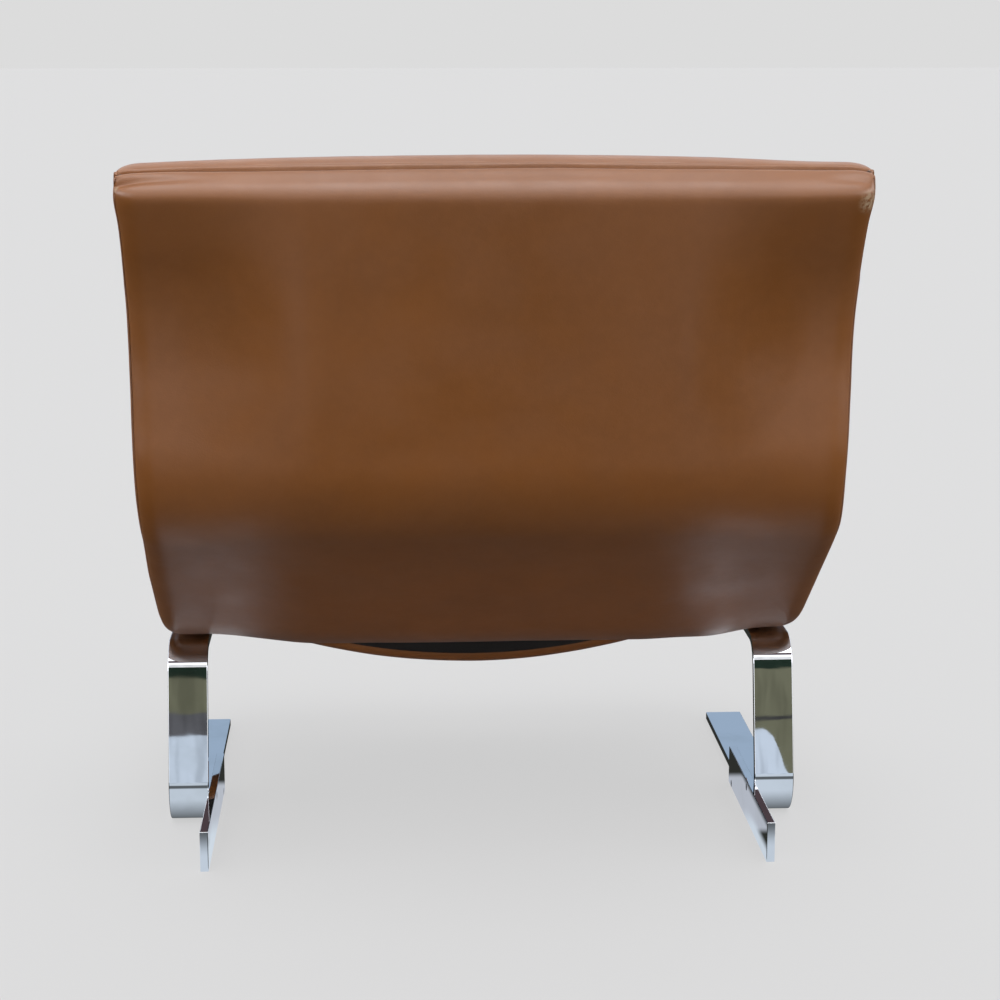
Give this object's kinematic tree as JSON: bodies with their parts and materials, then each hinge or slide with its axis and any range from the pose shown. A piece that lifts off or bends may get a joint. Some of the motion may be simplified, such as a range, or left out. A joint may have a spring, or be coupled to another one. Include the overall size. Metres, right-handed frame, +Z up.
{
  "type": "cantilever lounge chair",
  "caption": "Low cantilever lounge chair: a wave-shaped leather body on flat bar legs bent to a C, each steadied by an upright plate on its floor arm.",
  "frame": {"origin": "on the floor, on the centre plane, below the middle of the chair's depth", "axes": "+Z up, -Y the way the sitter faces, +X the sitter's left"},
  "size_m": [0.8, 0.8758, 0.8667],
  "materials": {
    "leather": "satin",
    "lining": "matte",
    "foam": "matte",
    "timber": "matte",
    "tubes": "satin",
    "webbing": "matte",
    "polished_bar": "polished",
    "dark_screws": "satin",
    "zinc": "satin"
  },
  "bodies": {
    "root": {"back_foam": "foam", "back_strap_1": "webbing", "back_strap_2": "webbing", "back_strap_3": "webbing", "back_strap_4": "webbing", "back_strap_5": "webbing", "back_strap_6": "webbing", "front_cover": "leather", "knee_rail": "timber", "left_frame_screws": "zinc", "left_leg": "polished_bar", "left_leg_bolts": "zinc", "left_leg_washers": "zinc", "left_plate_screws": "dark_screws", "left_side_padding": "foam", "left_side_rail": "timber", "left_stabiliser_plate": "polished_bar", "left_thread_inserts": "zinc", "lip_padding": "foam", "lip_rail": "timber", "lumbar_tube": "tubes", "rear_cover": "leather", "right_frame_screws": "zinc", "right_leg": "polished_bar", "right_leg_bolts": "zinc", "right_leg_washers": "zinc", "right_plate_screws": "dark_screws", "right_side_padding": "foam", "right_side_rail": "timber", "right_stabiliser_plate": "polished_bar", "right_thread_inserts": "zinc", "seat_foam": "foam", "seat_strap_1": "webbing", "seat_strap_2": "webbing", "seat_strap_3": "webbing", "seat_strap_4": "webbing", "seat_strap_5": "webbing", "seat_strap_6": "webbing", "seat_tube": "tubes", "top_padding": "foam", "top_rail": "timber", "underside_cloth": "lining"}
  },
  "joints": []
}
